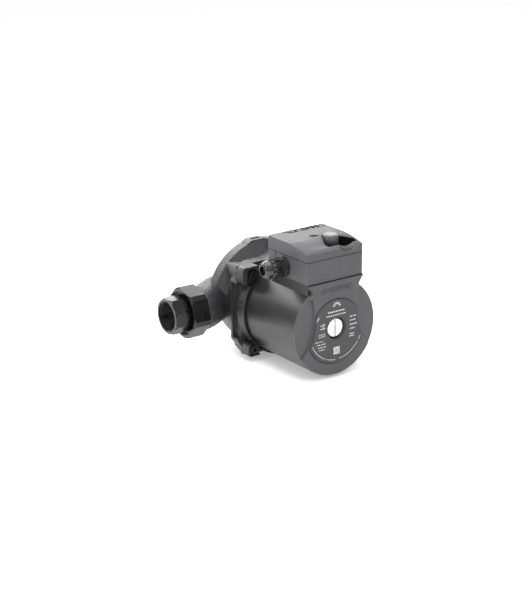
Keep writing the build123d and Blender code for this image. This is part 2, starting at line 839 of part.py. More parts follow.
def lid_side_face(drop=0.0, overrun=lid_overrun):
    """Side view of the lid: flat behind, then curving down to the front."""
    top = lid_top - drop
    back = box_back - drop
    front = box_front + drop
    run = lid_flat_front - front
    bend = (run ** 2 + lid_drop ** 2) / (2 * lid_drop)
    end = front - overrun
    end_height = top - bend + sqrt(bend ** 2 - (lid_flat_front - end) ** 2)
    roof = Line((back, base_top), (back, top))
    flat = Line(roof @ 1, (lid_flat_front, top))
    curve = TangentArc(flat @ 1, (end, end_height), tangent=(-1, 0))
    nose = Line(curve @ 1, (end, base_top))
    return make_face(roof + flat + curve + nose + Line(nose @ 1, roof @ 0))


def recess_face(grow=0.0):
    """The knob's recess: a straight slanting side on its left, widening to the front right."""
    slant = radians(recess_slant)
    reach = knob_radius + knob_rib_radius + recess_gap + grow
    near_x = knob_x - reach * cos(slant)
    near_y = knob_y + reach * sin(slant)
    ahead = recess_side + grow
    behind = recess_back + grow
    front = knob_y - recess_front - grow
    left = near_x - ahead * sin(slant)
    right = knob_x + recess_right + grow
    points = [(near_x + behind * sin(slant), near_y + behind * cos(slant)),
              (left, near_y - ahead * cos(slant)),
              (left, front),
              (right, front),
              (right, knob_y - recess_corner),
              (knob_x + reach, knob_y),
              (knob_x + recess_back_corner * reach, knob_y + recess_back_corner * reach)]
    return make_face(FilletPolyline(*points, radius=recess_rounding, close=True))


def scoop(grow=0.0):
    """The round-bottomed cut that slopes from the lid's front face up to the recess."""
    radius = scoop_radius + grow
    tool = Rot(90, 0, 0) * Cylinder(radius, scoop_length)
    tool = Rot(scoop_tilt, 0, 0) * tool
    height = lid_top - scoop_depth + scoop_radius / cos(radians(scoop_tilt))
    return Pos(scoop_x, box_front, height) * tool


def terminal_lid():
    shell = slab_x(lid_side_face(), -box_half_width, box_half_width)
    shell &= slab_z(box_outline(), base_top, lid_top)
    room = slab_x(lid_side_face(box_wall, 0.0), -box_half_width + box_wall, box_half_width - box_wall)
    room -= slab_z(recess_face(recess_wall), base_top, lid_top)
    room -= scoop(recess_wall)
    room -= rod_z(lid_screw_well + recess_wall, base_top, lid_top, lid_screw_x, lid_screw_y)
    body = shell - room
    body -= slab_z(recess_face(), recess_floor, lid_top)
    body -= slab_z(recess_face(), base_top, recess_floor - recess_wall)
    body -= scoop()
    body -= rod_z(spindle_radius + slip_play, base_top, recess_floor, knob_x, knob_y)
    well_floor = lid_top - lid_screw_well_depth
    body -= rod_z(lid_screw_well, well_floor, lid_top, lid_screw_x, lid_screw_y)
    return body - rod_z(lid_screw_radius + slip_play, base_top, well_floor, lid_screw_x, lid_screw_y)


def lid_screw():
    seat = lid_top - lid_screw_well_depth
    head = rod_z(lid_screw_head, seat, seat + lid_screw_head_height, lid_screw_x, lid_screw_y)
    slot_top = seat + lid_screw_head_height
    for turn in (0, 90):
        slot = Rot(0, 0, turn) * Box(2 * lid_screw_radius + 1.0, lid_screw_slot, 2 * lid_screw_slot_depth)
        head -= Pos(lid_screw_x, lid_screw_y, slot_top) * slot
    tip = base_bottom + box_wall + 3.0
    return head + rod_z(lid_screw_radius, tip, seat, lid_screw_x, lid_screw_y)


def speed_knob():
    low = recess_floor + slip_play
    body = rod_z(knob_radius, low, knob_top, knob_x, knob_y)
    body = chamfer(body.edges().filter_by(GeomType.CIRCLE).sort_by(Axis.Z)[-1], 1.0)
    for step in range(knob_rib_count):
        turn = radians(360 / knob_rib_count * step)
        body += rod_z(knob_rib_radius, low, knob_top - knob_rib_drop,
                      knob_x + knob_radius * cos(turn), knob_y + knob_radius * sin(turn))
    return body - rod_z(spindle_radius, low, low + spindle_reach, knob_x, knob_y)


def switch_spindle():
    low = switch_top - spindle_reach
    return rod_z(spindle_radius - seat_play, low, recess_floor + spindle_reach, knob_x, knob_y)


def speed_switch():
    half = switch_size / 2
    low = base_bottom + box_wall
    body = block(knob_x - half, knob_x + half, knob_y - half, knob_y + half, low, switch_top)
    return body - rod_z(spindle_radius + running_play, switch_top - spindle_hole, switch_top, knob_x, knob_y)


def capacitor():
    x = box_half_width - box_wall - capacitor_radius - 1.0
    z = base_bottom + box_wall + capacitor_radius
    back = box_back - box_wall - 1.0
    return rod_y(capacitor_radius, back, back - capacitor_length, x, z)


def block_origin():
    """The middle of the block's back face, on the floor of the box."""
    return (block_x, box_back - box_wall - block_back_gap, base_bottom + box_wall)


def terminal_block():
    x, y, z = block_origin()
    floor = z + 2.0 + base_screw_radius
    body = block(x - block_width / 2, x + block_width / 2, y - block_depth, y, z, z + block_height)
    for step in range(pole_count):
        px = x + (step - (pole_count - 1) / 2) * pole_pitch
        body -= rod_z(pole_screw_radius + slip_play, floor, z + block_height, px, y - block_depth / 2)
    return body


def terminal_screws():
    x, y, z = block_origin()
    floor = z + 2.0 + base_screw_radius
    group = None
    for step in range(pole_count):
        px = x + (step - (pole_count - 1) / 2) * pole_pitch
        screw = rod_z(pole_screw_radius, floor, z + block_height - pole_screw_drop, px, y - block_depth / 2)
        group = screw if group is None else group + screw
    return group


def earth_screw():
    x = -box_half_width + box_wall + earth_screw_inset
    y = gland_y - 2 * gland_thread_radius - earth_screw_inset
    z = base_bottom + box_wall
    return rod_z(earth_screw_radius, z, z + earth_screw_height, x, y)


# ---- cable gland ----
def along_gland(solid):
    return Pos(0, gland_y, gland_z) * solid


def gland_washer():
    inner = gland_thread_radius + seat_play
    return along_gland(ring_x(gland_washer_radius, inner, -box_half_width, gland_face))


def gland_body():
    inside = -box_half_width + gland_inside_length
    body = rod_x(gland_flange_radius, gland_face, gland_hex_back)
    body += slab_x(hex_face(gland_across_flats), gland_hex_front, gland_hex_back)
    body += rod_x(gland_thread_radius, gland_body_end, inside)
    body -= rod_x(gland_seal_bore + 1.0, gland_body_end, inside)
    body -= rod_x(gland_seal_outer + seat_play, gland_body_end, gland_body_end + gland_seal_length)
    return along_gland(body)


def gland_seal():
    back = gland_body_end + gland_seal_length
    return along_gland(ring_x(gland_seal_outer, gland_seal_bore, gland_body_end, back))


def gland_thrust_ring():
    back = gland_body_end - slip_play
    bore = gland_seal_bore + 2 * slip_play
    return along_gland(ring_x(gland_seal_outer, bore, back - gland_ring_thickness, back))


def gland_nut():
    back = gland_hex_front - gland_nut_gap
    nose = back - gland_nut_length
    shoulder = nose + gland_nut_dome
    body = slab_x(hex_face(gland_across_flats, half_flat), shoulder + 1.0, back)
    dome = turned_x([(back - 1.0, 0), (back - 1.0, gland_nut_radius - gland_nut_shoulder_drop),
                     (shoulder, gland_nut_radius),
                     (nose + gland_nut_dome * gland_nut_crown, gland_nut_radius - gland_nut_crown_drop),
                     (nose + gland_nut_dome * gland_nut_lip, gland_nut_radius - gland_nut_lip_drop),
                     (nose, gland_nut_radius - gland_nut_nose_drop), (nose, 0)])
    body += dome
    inner_end = gland_body_end - slip_play - gland_ring_thickness - seat_play
    body -= rod_x(gland_thread_radius + thread_play, inner_end, back)
    body -= rod_x(gland_nut_mouth, nose, inner_end)
    return along_gland(body)


nodes = {
    "pump_housing": pump_housing,
    "wear_ring": wear_ring,
    "housing_gasket": housing_gasket,
    "bearing_plate": bearing_plate,
    "plate_bearing": plate_bearing,
    "rotor_can": rotor_can,
    "can_bearing": can_bearing,
    "bearing_holder": bearing_holder,
    "shaft": shaft,
    "rotor_core": rotor_core,
    "rotor_sleeve": rotor_sleeve_tube,
    "rotor_end_rings": rotor_end_rings,
    "thrust_ring": thrust_ring,
    "impeller": impeller,
    "impeller_nut": impeller_nut,
    "stator_core": stator_core,
    "stator_windings": stator_windings,
    "stator_housing": stator_housing,
    "motor_screws": motor_screws,
    "end_cover": end_cover,
    "nameplate": nameplate,
    "vent_seal": vent_seal,
    "vent_plug": vent_plug,
    "terminal_gasket": terminal_gasket,
    "terminal_base": terminal_base,
    "base_screws": base_screws,
    "terminal_lid": terminal_lid,
    "lid_screw": lid_screw,
    "speed_knob": speed_knob,
    "switch_spindle": switch_spindle,
    "speed_switch": speed_switch,
    "capacitor": capacitor,
    "terminal_block": terminal_block,
    "terminal_screws": terminal_screws,
    "earth_screw": earth_screw,
    "gland_washer": gland_washer,
    "gland_body": gland_body,
    "gland_seal": gland_seal,
    "gland_thrust_ring": gland_thrust_ring,
    "gland_nut": gland_nut,
}

for name, make in nodes.items():
    export_step(make(), f"parts/{name}.step")

for end, side in (("inlet", -1), ("outlet", 1)):
    export_step(union_gasket(side), f"parts/{end}_gasket.step")
    export_step(tailpiece(side), f"parts/{end}_tailpiece.step")
    export_step(union_nut(side), f"parts/{end}_nut.step")
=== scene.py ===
import math
import random
import bmesh
import bpy
from mathutils import Matrix, Vector
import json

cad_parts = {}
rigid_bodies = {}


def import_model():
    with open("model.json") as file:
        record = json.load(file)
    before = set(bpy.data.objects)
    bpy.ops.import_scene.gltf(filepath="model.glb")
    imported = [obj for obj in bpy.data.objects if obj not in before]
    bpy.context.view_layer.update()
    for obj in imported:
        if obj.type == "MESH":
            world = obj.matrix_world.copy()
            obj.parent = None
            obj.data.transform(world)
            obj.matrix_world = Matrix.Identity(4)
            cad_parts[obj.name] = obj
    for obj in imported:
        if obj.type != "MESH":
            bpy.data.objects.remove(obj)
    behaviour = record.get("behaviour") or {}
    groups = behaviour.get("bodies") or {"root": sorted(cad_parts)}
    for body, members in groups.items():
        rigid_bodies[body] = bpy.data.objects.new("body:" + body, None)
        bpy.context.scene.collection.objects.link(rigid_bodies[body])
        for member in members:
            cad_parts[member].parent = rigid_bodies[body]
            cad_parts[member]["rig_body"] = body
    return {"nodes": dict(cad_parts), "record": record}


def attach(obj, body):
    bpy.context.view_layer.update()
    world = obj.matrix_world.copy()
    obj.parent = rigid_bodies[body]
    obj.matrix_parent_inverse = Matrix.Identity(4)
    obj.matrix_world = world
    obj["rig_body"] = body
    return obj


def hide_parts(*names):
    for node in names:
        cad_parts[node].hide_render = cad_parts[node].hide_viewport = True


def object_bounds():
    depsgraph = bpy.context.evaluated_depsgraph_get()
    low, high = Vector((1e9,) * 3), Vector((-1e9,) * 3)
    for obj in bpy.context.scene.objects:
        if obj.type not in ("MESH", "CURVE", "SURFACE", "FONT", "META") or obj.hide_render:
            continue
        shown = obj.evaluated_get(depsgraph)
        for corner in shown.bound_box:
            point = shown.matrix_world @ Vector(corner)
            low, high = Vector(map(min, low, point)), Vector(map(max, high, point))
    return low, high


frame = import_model()
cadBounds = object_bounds()
cadNodes = frame["nodes"]
slotOf = {part["node"]: part.get("material_slot") or part.get("material") for part in frame["record"]["subparts"]}
quarter = math.radians(90)
mm = 0.001
print("circulator pump: frame loaded,", len(cadNodes), "parts")


# A Field is one output socket, so that sums on it read as sums and add their own Math nodes.
class Field:
    def __init__(self, tree, socket):
        self.tree = tree
        self.socket = socket

    def maths(self, operation, left, right=None):
        node = self.tree.nodes.new("ShaderNodeMath")
        node.operation = operation
        for port, value in zip(node.inputs, (left, right)):
            if isinstance(value, Field):
                self.tree.links.new(value.socket, port)
            elif value is not None:
                port.default_value = value
        return Field(self.tree, node.outputs[0])

    def __add__(self, other):
        return self.maths("ADD", self, other)

    def __radd__(self, other):
        return self.maths("ADD", other, self)

    def __sub__(self, other):
        return self.maths("SUBTRACT", self, other)

    def __rsub__(self, other):
        return self.maths("SUBTRACT", other, self)

    def __mul__(self, other):
        return self.maths("MULTIPLY", self, other)

    def __rmul__(self, other):
        return self.maths("MULTIPLY", other, self)

    def below(self, level):
        return self.maths("LESS_THAN", self, level)

    def size(self):
        return self.maths("ABSOLUTE", self)

    def least(self, other):
        return self.maths("MINIMUM", self, other)


# A Board adds nodes to one tree: their type, their settings, then what goes into their sockets.
class Board:
    def __init__(self, tree):
        self.tree = tree

    def add(self, kind, settings=None, sockets=None, output=0):
        node = self.tree.nodes.new(kind)
        for key, value in (settings or {}).items():
            if key == "stops":
                ramp = node.color_ramp
                while len(ramp.elements) < len(value):
                    ramp.elements.new(0.5)
                for element, (position, color) in zip(ramp.elements, value):
                    element.position = position
                    element.color = color
            else:
                setattr(node, key, value)
        for key, value in (sockets or {}).items():
            self.feed(node.inputs[key], value)
        if output == "all":
            return [Field(self.tree, socket) for socket in node.outputs]
        return Field(self.tree, node.outputs[output])

    def feed(self, port, value):
        if isinstance(value, Field):
            self.tree.links.new(value.socket, port)
        else:
            port.default_value = value


class Finish(Board):
    def __init__(self, name):
        self.material = bpy.data.materials.new(name)
        self.material.use_nodes = True
        super().__init__(self.material.node_tree)
        self.shader = self.tree.nodes["Principled BSDF"]
        self.place = self.add("ShaderNodeTexCoord", output="Object")

    def values(self, sockets):
        for key, value in sockets.items():
            self.feed(self.shader.inputs[key], value)
        return self.material

    def noise(self, scale, detail=3.0, rough=0.55):
        return self.add("ShaderNodeTexNoise", {}, {"Vector": self.place, "Scale": scale, "Detail": detail,
                                                   "Roughness": rough})

    def grains(self, scale):
        return self.add("ShaderNodeTexVoronoi", {"feature": "F1"}, {"Vector": self.place, "Scale": scale})

    def axes(self):
        return self.add("ShaderNodeSeparateXYZ", {}, {"Vector": self.place}, "all")

    def ramp(self, value, stops):
        return self.add("ShaderNodeValToRGB", {"stops": stops}, {"Fac": value})

    def spread(self, value, low, high, start=0.35, end=0.65):
        return self.add("ShaderNodeMapRange", {}, {"Value": value, "From Min": start, "From Max": end,
                                                   "To Min": low, "To Max": high})

    def mix(self, factor, first, second):
        return self.add("ShaderNodeMix", {"data_type": "RGBA"}, {"Factor": factor, 6: first, 7: second}, 2)

    def softEdges(self, radius):
        return self.add("ShaderNodeBevel", {"samples": 4}, {"Radius": radius})

    def bump(self, height, distance, strength, under):
        return self.add("ShaderNodeBump", {}, {"Height": height, "Distance": distance, "Strength": strength,
                                               "Normal": under})


def gray(level):
    return (level, level, level, 1)


def tint(level, warm=0.0):
    return (level * (1.01 + warm), level * 0.98, level * (1.03 - warm), 1)   # near black with a trace of violet


studio = {
    "turn": -35.18, "height": 19.18, "roll": -0.58,            # degrees
    "distance": 1.516, "lens": 85.22, "target": (-0.03691, -0.0612, 0.01787),
    "floorSize": 60, "floorColor": gray(0.93), "floorGlow": 0.3,
    "sky": ((0.0, gray(1.0)), (0.035, gray(1.0)), (0.05, gray(0.28)), (0.12, gray(0.28)), (0.5, gray(0.75)),
            (1.0, gray(0.75))),                                # pale at the horizon, like the floor
    "lampAim": (0, -0.06, 0.02),
    "softboxes": [                                             # name, place, size, watts
        ("overhead", (-0.2, 0.0, 1.3), (1.1, 1.1), 17),
        ("leftWindow", (-1.3, -0.2, 0.55), (0.6, 0.5), 3.5),
        ("frontWindow", (-0.35, -1.1, 1.05), (0.8, 0.6), 6.5),
        ("rearWindow", (0.15, 1.25, 0.8), (2.3, 0.8), 29),
    ],
}


def placeCamera():
    turn, height, roll = (math.radians(studio[key]) for key in ("turn", "height", "roll"))
    back = Vector((math.sin(turn) * math.cos(height), -math.cos(turn) * math.cos(height), math.sin(height)))
    right = Vector((math.cos(turn), math.sin(turn), 0))
    up = back.cross(right)
    tiltedRight = right * math.cos(roll) + up * math.sin(roll)
    tiltedUp = up * math.cos(roll) - right * math.sin(roll)
    lens = bpy.data.cameras.new("camera")
    lens.lens = studio["lens"]
    lens.sensor_width = 36
    lens.clip_start, lens.clip_end = 0.05, 200
    camera = bpy.data.objects.new("camera", lens)
    bpy.context.scene.collection.objects.link(camera)
    place = Vector(studio["target"]) + back * studio["distance"]
    facing = Matrix((tiltedRight, tiltedUp, back)).transposed().to_4x4()
    camera.matrix_world = Matrix.Translation(place) @ facing
    bpy.context.scene.camera = camera


def lightStudio():
    world = bpy.data.worlds.new("studio")
    world.use_nodes = True
    sky = Board(world.node_tree)
    direction = sky.add("ShaderNodeTexCoord", output="Generated")
    height = sky.add("ShaderNodeSeparateXYZ", {}, {"Vector": direction}, 2)
    shade = sky.add("ShaderNodeValToRGB", {"stops": studio["sky"]}, {"Fac": height})
    sky.feed(world.node_tree.nodes["Background"].inputs["Color"], shade)
    bpy.context.scene.world = world
    bpy.context.scene.view_settings.view_transform = "Standard"
    for name, place, size, power in studio["softboxes"]:
        light = bpy.data.lights.new(name, "AREA")
        light.shape = "RECTANGLE"
        light.size, light.size_y = size
        light.energy = power
        lamp = bpy.data.objects.new(name, light)
        bpy.context.scene.collection.objects.link(lamp)
        lamp.location = place
        aim = Vector(studio["lampAim"]) - Vector(place)
        lamp.rotation_euler = aim.to_track_quat("-Z", "Y").to_euler()


def layFloor():
    grid = bmesh.new()
    bmesh.ops.create_grid(grid, x_segments=1, y_segments=1, size=studio["floorSize"])
    mesh = bpy.data.meshes.new("floor")
    grid.to_mesh(mesh)
    grid.free()
    ground = bpy.data.objects.new("floor", mesh)
    ground.location.z = cadBounds[0][2] - 0.0005
    bpy.context.scene.collection.objects.link(ground)
    paint = Finish("floorPaint")
    mesh.materials.append(paint.values({"Base Color": studio["floorColor"], "Roughness": 0.9,
                                        "Emission Color": gray(1.0), "Emission Strength": studio["floorGlow"]}))


# Painted iron: sandy skin under gloss paint, softer where two faces meet.
castBlackLook = {"dark": 0.003, "light": 0.04, "roughLow": 0.2, "roughHigh": 0.4, "grain": 1000, "pit": 480,
                 "cloud": 45, "depth": 0.0012, "edge": 0.0011}


def castBlack():
    look = castBlackLook
    paint = Finish("castBlackPaint")
    coarse = paint.noise(look["pit"], 5, 0.6)
    fine = paint.noise(look["grain"], 4, 0.65)
    cloud = paint.noise(look["cloud"], 3)
    tone = coarse * 0.5 + fine * 0.3 + cloud * 0.2
    sand = coarse * 0.45 + fine * 0.55
    return paint.values({
        "Base Color": paint.ramp(tone, [(0.35, tint(look["dark"], -0.03)), (0.68, tint(look["light"], -0.03))]),
        "Roughness": paint.spread(fine * 0.6 + cloud * 0.4, look["roughLow"], look["roughHigh"]),
        "Normal": paint.bump(sand, look["depth"], 0.85, paint.softEdges(look["edge"])),
        "Specular IOR Level": 0.55,
    })


# Stoved enamel on the drawn motor shell: faint orange peel and a slow wave.
motorBlackLook = {"dark": 0.0085, "light": 0.012, "roughLow": 0.34, "roughHigh": 0.4, "peel": 420, "wave": 28,
                  "depth": 0.00004, "edge": 0.0006}


def motorBlack():
    look = motorBlackLook
    paint = Finish("motorBlackPaint")
    peel = paint.noise(look["peel"], 2, 0.5)
    wave = paint.noise(look["wave"], 2, 0.5)
    return paint.values({
        "Base Color": paint.ramp(wave, [(0.3, tint(look["dark"], 0.02)), (0.7, tint(look["light"], 0.02))]),
        "Roughness": paint.spread(peel * 0.5 + wave * 0.5, look["roughLow"], look["roughHigh"]),
        "Normal": paint.bump(peel * 0.15 + wave * 1.2, look["depth"], 0.6, paint.softEdges(look["edge"])),
        "Specular IOR Level": 0.6,
    })


# Black coating on the malleable iron unions.
unionBlackLook = {"dark": 0.003, "light": 0.006, "roughLow": 0.2, "roughHigh": 0.32, "cloud": 120, "fine": 1400,
                  "depth": 0.00005, "edge": 0.0005}


def unionBlack():
    look = unionBlackLook
    paint = Finish("unionBlackCoating")
    cloud = paint.noise(look["cloud"], 4, 0.6)
    skin = cloud * 0.7 + paint.noise(look["fine"], 2, 0.5) * 0.3
    return paint.values({
        "Base Color": paint.ramp(cloud, [(0.3, tint(look["dark"], -0.04)), (0.7, tint(look["light"], -0.04))]),
        "Roughness": paint.spread(skin, look["roughLow"], look["roughHigh"]),
        "Normal": paint.bump(skin, look["depth"], 0.7, paint.softEdges(look["edge"])),
        "Specular IOR Level": 0.42,
    })


# Spark-eroded plastic of the terminal box and end cover, with painted shadow in thin bands where the mouldings meet.
boxPlasticLook = {"dark": 0.06, "light": 0.078, "roughness": 0.48, "spark": 2600, "cloud": 60, "fine": 2200,
                  "depth": 0.00007, "edge": 0.0007, "seams": (0.0771, 0.0527), "seamHalf": 0.00055,
                  "seamTone": 0.12, "seamShade": gray(0.004)}


def boxPlastic():
    look = boxPlasticLook
    paint = Finish("boxPlastic")
    spark = paint.grains(look["spark"])
    cloud = paint.noise(look["cloud"], 3, 0.55)
    fine = paint.noise(look["fine"], 2, 0.6)
    color = paint.ramp(cloud * 0.4 + fine * 0.6, [(0.3, tint(look["dark"], -0.02)), (0.7, tint(look["light"], -0.02))])
    # Painted shadow: the colour is darkened in a thin band at each seam height, standing in for the shade in the gaps.
    height = paint.axes()[2]
    upper, lower = ((height - level).size() for level in look["seams"])
    seamShadowMask = upper.least(lower).below(look["seamHalf"])
    return paint.values({
        "Base Color": paint.mix(seamShadowMask * (1 - look["seamTone"]), color, look["seamShade"]),
        "Roughness": paint.spread(fine, look["roughness"] - 0.05, look["roughness"] + 0.08, 0.3, 0.7),
        "Specular IOR Level": 0.3,
        "Normal": paint.bump(spark * 0.7 + fine * 0.5, look["depth"], 0.6, paint.softEdges(look["edge"])),
    })


def plainFinish(name, look):
    paint = Finish(name)
    cloud = paint.noise(look.get("cloud", 90), 3, 0.55)
    fine = paint.noise(look.get("fine", 1500), 3, 0.6)
    low, high = look["rough"]
    return paint.values({
        "Base Color": paint.ramp(cloud * 0.6 + fine * 0.4, [(0.3, look["dark"]), (0.7, look["light"])]),
        "Roughness": paint.spread(cloud * 0.5 + fine * 0.5, low, high),
        "Metallic": look.get("metal", 0.0),
        "Specular IOR Level": look.get("gloss", 0.5),
        "Normal": paint.bump(fine * 0.6 + cloud * 0.4, look.get("depth", 0.00004), 0.7,
                             paint.softEdges(look.get("edge", 0.0003))),
    })


def inkFinish(name, tone, rough=0.55, gloss=0.15):
    ink = Finish(name)
    wear = ink.noise(1800, 3, 0.6)
    return ink.values({"Base Color": ink.ramp(wear, [(0.3, gray(tone * 0.8)), (0.7, gray(tone))]),
                       "Roughness": ink.spread(wear, rough - 0.08, rough + 0.08, 0.0, 1.0),
                       "Specular IOR Level": gloss})


plainLooks = {
    "label": {"name": "labelFinish", "dark": tint(0.05), "light": tint(0.058), "rough": (0.45, 0.55),
              "depth": 0.00002, "gloss": 0.25},
    "plug_nickel": {"name": "plugNickel", "dark": tint(0.52, 0.03), "light": tint(0.62, 0.03), "rough": (0.2, 0.34),
                    "metal": 1.0, "fine": 2400, "depth": 0.00003, "edge": 0.0005},
    "screw_black": {"name": "screwFinish", "dark": tint(0.006), "light": tint(0.014), "rough": (0.28, 0.45),
                    "edge": 0.0004},
    "gland_plastic": {"name": "glandFinish", "dark": tint(0.01), "light": tint(0.016), "rough": (0.16, 0.26),
                      "edge": 0.0005, "gloss": 0.7},
    "knob_plastic": {"name": "knobFinish", "dark": tint(0.10), "light": tint(0.14), "rough": (0.38, 0.5),
                     "edge": 0.0004},
    "seal_rubber": {"name": "sealFinish", "dark": tint(0.01), "light": tint(0.018), "rough": (0.6, 0.75)},
    "gasket_fibre": {"name": "gasketFinish", "dark": tint(0.02), "light": tint(0.035), "rough": (0.7, 0.85),
                     "depth": 0.0001},
    "stainless": {"name": "stainlessFinish", "dark": tint(0.5), "light": tint(0.62), "rough": (0.2, 0.35),
                  "metal": 1.0},
    "carbon": {"name": "carbonFinish", "dark": tint(0.015), "light": tint(0.03), "rough": (0.35, 0.5)},
    "ceramic": {"name": "ceramicFinish", "dark": tint(0.62, 0.03), "light": tint(0.72, 0.03),
                "rough": (0.12, 0.25)},
    "laminations": {"name": "laminationsFinish", "dark": tint(0.12), "light": tint(0.25), "rough": (0.35, 0.55),
                    "metal": 1.0, "cloud": 400},
    "copper": {"name": "copperFinish", "dark": (0.42, 0.13, 0.05, 1), "light": (0.62, 0.25, 0.11, 1),
               "rough": (0.25, 0.4), "metal": 1.0, "depth": 0.0001},
    "impeller_plastic": {"name": "impellerFinish", "dark": tint(0.03), "light": tint(0.05), "rough": (0.4, 0.55)},
    "brass": {"name": "brassFinish", "dark": (0.5, 0.34, 0.13, 1), "light": (0.65, 0.46, 0.2, 1),
              "rough": (0.22, 0.38), "metal": 1.0},
    "capacitor_can": {"name": "capacitorFinish", "dark": tint(0.5, 0.03), "light": tint(0.58, 0.03),
                      "rough": (0.3, 0.42)},
    "terminal_plastic": {"name": "terminalFinish", "dark": tint(0.42, 0.02), "light": tint(0.5, 0.02),
                         "rough": (0.42, 0.55)},
}


def dressParts():
    made = {"cast_black": castBlack(), "motor_black": motorBlack(), "union_black": unionBlack(),
            "box_plastic": boxPlastic()}
    for slot, look in plainLooks.items():
        made[slot] = plainFinish(look["name"], look)
    for node, slot in slotOf.items():
        if node in cadNodes and slot in made:
            cadNodes[node].data.materials.clear()
            cadNodes[node].data.materials.append(made[slot])
    return made


finishes = dressParts()
placeCamera()
lightStudio()
layFloor()
print("finishes set:", len(finishes))


matt = {"tone": 0.003, "rough": 0.8, "gloss": 0.0}              # printing black and shadow gaps


# A Recipe is one Geometry Nodes tree with named inputs; build() runs it on a mesh and keeps the plain result.
class Recipe:
    def __init__(self, name, inputs):
        self.tree = bpy.data.node_groups.new(name, "GeometryNodeTree")
        self.tree.interface.new_socket("Geometry", in_out="INPUT", socket_type="NodeSocketGeometry")
        for label, kind in inputs:
            self.tree.interface.new_socket(label, in_out="INPUT", socket_type="NodeSocket" + kind)
        self.tree.interface.new_socket("Geometry", in_out="OUTPUT", socket_type="NodeSocketGeometry")
        self.start = self.tree.nodes.new("NodeGroupInput")
        self.end = self.tree.nodes.new("NodeGroupOutput")

    def given(self, label):
        return self.start.outputs[label]

    def add(self, kind, settings=None, sockets=None, output=0):
        node = self.tree.nodes.new(kind)
        for key, value in (settings or {}).items():
            setattr(node, key, value)
        for key, value in (sockets or {}).items():
            port = node.inputs[key]
            if isinstance(value, bpy.types.NodeSocket):
                self.tree.links.new(value, port)
            else:
                port.default_value = value
        return node.outputs[output]

    def close(self, geometry, material):
        whole = self.add("GeometryNodeRealizeInstances", {}, {"Geometry": geometry})
        dressed = self.add("GeometryNodeSetMaterial", {}, {"Geometry": whole, "Material": material})
        self.tree.links.new(dressed, self.end.inputs[0])

    def build(self, name, seedMesh, values):
        holder = bpy.data.objects.new(name + "Source", seedMesh)
        bpy.context.scene.collection.objects.link(holder)
        modifier = holder.modifiers.new("recipe", "NODES")
        modifier.node_group = self.tree
        for item in self.tree.interface.items_tree:
            if item.in_out == "INPUT" and item.name in values:
                modifier[item.identifier] = values[item.name]
        view = bpy.context.evaluated_depsgraph_get()
        mesh = bpy.data.meshes.new_from_object(holder.evaluated_get(view))
        mesh.name = name
        bpy.data.objects.remove(holder)
        piece = bpy.data.objects.new(name, mesh)
        bpy.context.scene.collection.objects.link(piece)
        return piece


def emptyMesh(name):
    return bpy.data.meshes.new(name + "Seed")


def turnOutwards(mesh):
    work = bmesh.new()
    work.from_mesh(mesh)
    bmesh.ops.remove_doubles(work, verts=work.verts, dist=1e-6)
    bmesh.ops.recalc_face_normals(work, faces=work.faces)
    work.to_mesh(mesh)
    work.free()


def settle(piece, body):
    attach(piece, body)


# Printed and raised marks: a tile on each point, with its own length, height and turn.
def markRecipe(name, material):
    made = Recipe(name, [("Thickness", "Float")])
    size = made.add("GeometryNodeInputNamedAttribute", {"data_type": "FLOAT_VECTOR"}, {"Name": "markSize"})
    turn = made.add("GeometryNodeInputNamedAttribute", {"data_type": "FLOAT_VECTOR"}, {"Name": "markTurn"})
    depth = made.add("ShaderNodeCombineXYZ", {}, {"X": 1.0, "Y": 1.0, "Z": made.given("Thickness")})
    scale = made.add("ShaderNodeVectorMath", {"operation": "MULTIPLY"}, {0: size, 1: depth})
    facing = made.add("FunctionNodeEulerToRotation", {}, {"Euler": turn})
    tile = made.add("GeometryNodeMeshCube", {}, {"Size": (1, 1, 1)})
    spread = made.add("GeometryNodeInstanceOnPoints", {}, {"Points": made.given("Geometry"), "Instance": tile,
                                                           "Rotation": facing, "Scale": scale})
    made.close(spread, material)
    return made


def placeMarks(name, marks, thickness, material):
    mesh = bpy.data.meshes.new(name + "Points")
    mesh.from_pydata([mark["at"] for mark in marks], [], [])
    sizes = mesh.attributes.new("markSize", "FLOAT_VECTOR", "POINT")
    turns = mesh.attributes.new("markTurn", "FLOAT_VECTOR", "POINT")
    for number, mark in enumerate(marks):
        sizes.data[number].vector = (mark["long"], mark["tall"], 1.0)
        turns.data[number].vector = mark["turn"]
    piece = markRecipe(name + "Recipe", material).build(name, mesh, {"Thickness": thickness})
    settle(piece, "pump")


def cadCopy(node, name):
    mesh = cadNodes[node].data.copy()
    mesh.name = name
    work = bmesh.new()
    work.from_mesh(mesh)
    bmesh.ops.remove_doubles(work, verts=work.verts, dist=2e-6)
    work.to_mesh(mesh)
    work.free()
    piece = bpy.data.objects.new(name, mesh)
    bpy.context.scene.collection.objects.link(piece)
    return piece


def roundEdges(piece, width, limit=30, harden=False):
    bevel = piece.modifiers.new("roundedEdge", "BEVEL")
    bevel.width = width
    bevel.segments = 2
    bevel.limit_method = "ANGLE"
    bevel.angle_limit = math.radians(limit)
    bevel.harden_normals = harden


